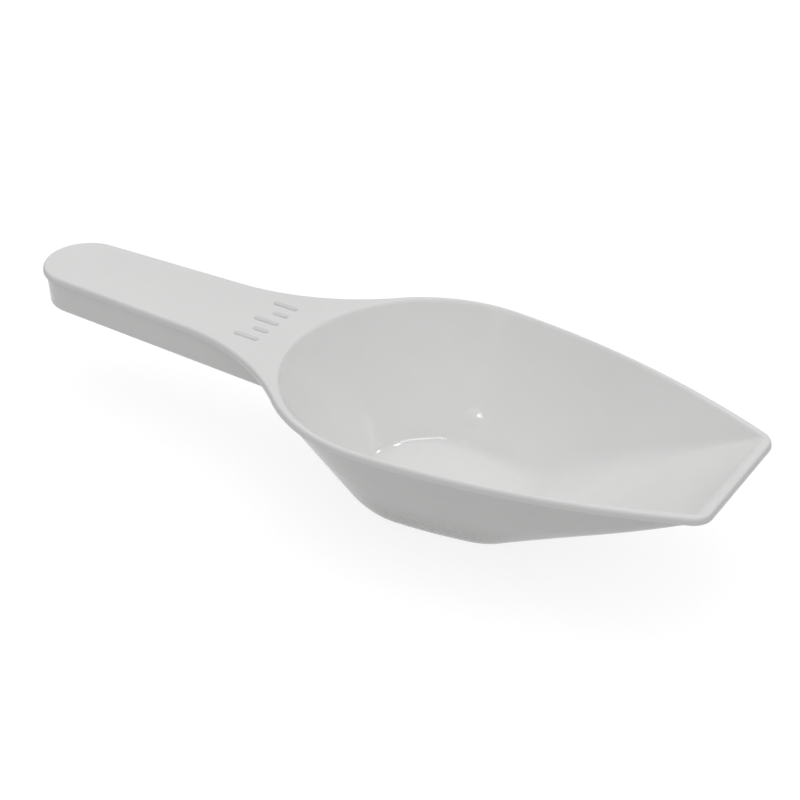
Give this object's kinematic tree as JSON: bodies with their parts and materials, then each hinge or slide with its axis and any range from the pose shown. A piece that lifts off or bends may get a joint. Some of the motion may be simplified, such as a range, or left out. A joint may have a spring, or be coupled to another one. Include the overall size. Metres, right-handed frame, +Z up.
{
  "type": "measuring scoop",
  "caption": "One-piece white plastic measuring scoop: flat skirted handle, flared neck, round-backed bowl with a small flat floor, and a ramp up to a straight pour lip.",
  "frame": {"origin": "on the ground under the middle of the scoop's bounding box, with the scoop standing on its flat floor and its rim level", "axes": "+X from the handle end to the pour lip, +Y to the left of someone looking from the handle to the lip, +Z up, square to the rim"},
  "size_m": [0.088, 0.0338, 0.0152],
  "materials": {
    "white_plastic": "satin, fine moulded texture"
  },
  "bodies": {
    "root": {"handle_plate": "white_plastic", "neck_plate": "white_plastic", "rim_left": "white_plastic", "rim_right": "white_plastic", "lip_edge": "white_plastic", "bowl_back_left": "white_plastic", "bowl_side_left": "white_plastic", "bowl_back_right": "white_plastic", "bowl_side_right": "white_plastic", "bowl_floor": "white_plastic", "pour_ramp": "white_plastic", "skirt_end": "white_plastic", "skirt_left": "white_plastic", "skirt_right": "white_plastic", "graduation_tick_1": "white_plastic", "graduation_tick_2": "white_plastic", "graduation_tick_3": "white_plastic", "graduation_tick_4": "white_plastic", "graduation_tick_5": "white_plastic"}
  },
  "joints": []
}
